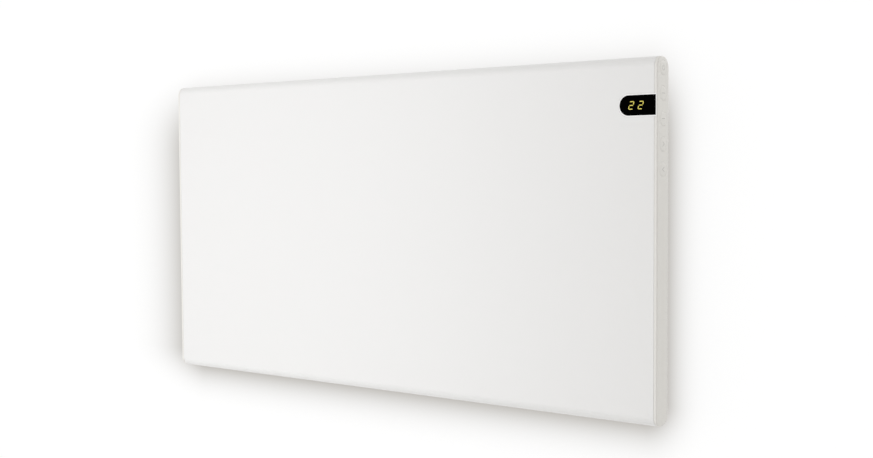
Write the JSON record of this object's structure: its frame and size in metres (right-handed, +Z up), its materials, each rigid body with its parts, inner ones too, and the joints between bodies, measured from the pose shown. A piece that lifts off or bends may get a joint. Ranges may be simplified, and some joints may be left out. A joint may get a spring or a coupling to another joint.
{
  "type": "wall panel convector heater",
  "caption": "Slim wall panel convector heater with rounded steel front, moulded end caps, a dark display lobe, side keys, a rear air duct and a wall bracket that it tilts on.",
  "frame": {"origin": "on the wall, in the middle of the four wall screws", "axes": "+X to the right seen from the room, +Y into the wall, +Z up"},
  "size_m": [0.7003, 0.084, 0.37],
  "materials": {
    "white_enamel": "satin white powder coat",
    "white_moulding": "fine matt white plastic",
    "key_moulding": "fine matt white plastic",
    "dark_window": "polished black tinted plastic",
    "lit_figures": "yellow light bars",
    "black_moulding": "matt black plastic",
    "circuit_board": "green solder mask",
    "component_case": "glossy yellow case",
    "terminal_case": "green plastic",
    "zinc_sheet": "spangled zinc coated sheet",
    "zinc_bracket": "zinc plated steel",
    "plated_screw": "bright zinc",
    "brass_screw": "plain brass",
    "rod_sheath": "dull annealed steel",
    "fin_aluminium": "mill finish",
    "ceramic": "unglazed ceramic",
    "black_rubber": "matt rubber",
    "lead_cover": "grey insulation",
    "silicone_lead": "red brown silicone insulation",
    "bracket_steel": "white grey powder coat",
    "spring_steel": "tempered strip"
  },
  "bodies": {
    "wall_bracket": {"right_upright": "bracket_steel", "left_upright": "bracket_steel", "upper_rail": "bracket_steel", "lower_rail": "bracket_steel", "bracket_rivets": "plated_screw", "hinge_pins": "plated_screw", "latch_clips": "spring_steel", "bracket_pads": "black_rubber"},
    "heater": {"front_panel": "white_enamel", "left_end_cap": "white_moulding", "right_end_cap": "white_moulding", "display_bezel": "white_moulding", "display_window": "dark_window", "display_module": "black_moulding", "display_segments": "lit_figures", "control_board": "circuit_board", "power_board": "circuit_board", "tact_switches": "black_moulding", "relay": "black_moulding", "film_capacitor": "component_case", "terminal_block": "terminal_case", "board_standoffs": "black_moulding", "heat_shield": "zinc_sheet", "rear_panel": "zinc_sheet", "outlet_grille": "zinc_sheet", "inlet_grille": "zinc_sheet", "right_casing_side": "zinc_sheet", "left_casing_side": "zinc_sheet", "casing_screws": "plated_screw", "lip_screws": "plated_screw", "cap_screws": "plated_screw", "earth_screw": "brass_screw", "heating_rod": "rod_sheath", "element_fins": "fin_aluminium", "right_element_bracket": "zinc_bracket", "left_element_bracket": "zinc_bracket", "element_bushings": "ceramic", "cutout_bracket": "zinc_bracket", "thermal_cutout": "ceramic", "cable_gland": "black_moulding", "gland_nut": "black_moulding", "wire_grommet": "black_rubber", "control_cable": "lead_cover", "element_leads": "silicone_lead", "room_sensor": "black_moulding", "right_hanger": "zinc_bracket", "left_hanger": "zinc_bracket", "latch_tongues": "zinc_bracket", "hanger_rivets": "plated_screw"},
    "power_key": {"power_key": "key_moulding"},
    "comfort_key": {"comfort_key": "key_moulding"},
    "setback_key": {"setback_key": "key_moulding"},
    "up_key": {"up_key": "key_moulding"},
    "down_key": {"down_key": "key_moulding"}
  },
  "joints": [
    {"name": "heater_tilt", "type": "hinge", "parent": "wall_bracket", "child": "heater", "pos_m": [0, -0.013, -0.15], "axis": [1, 0, 0], "range_deg": [0, 20]},
    {"name": "power_key_press", "type": "slide", "parent": "heater", "child": "power_key", "axis": [-1, 0, 0], "range_m": [0, 0.0006], "stiffness_N_per_m": 2500},
    {"name": "comfort_key_press", "type": "slide", "parent": "heater", "child": "comfort_key", "axis": [-1, 0, 0], "range_m": [0, 0.0006], "stiffness_N_per_m": 2500},
    {"name": "setback_key_press", "type": "slide", "parent": "heater", "child": "setback_key", "axis": [-1, 0, 0], "range_m": [0, 0.0006], "stiffness_N_per_m": 2500},
    {"name": "up_key_press", "type": "slide", "parent": "heater", "child": "up_key", "axis": [-1, 0, 0], "range_m": [0, 0.0006], "stiffness_N_per_m": 2500},
    {"name": "down_key_press", "type": "slide", "parent": "heater", "child": "down_key", "axis": [-1, 0, 0], "range_m": [0, 0.0006], "stiffness_N_per_m": 2500}
  ]
}
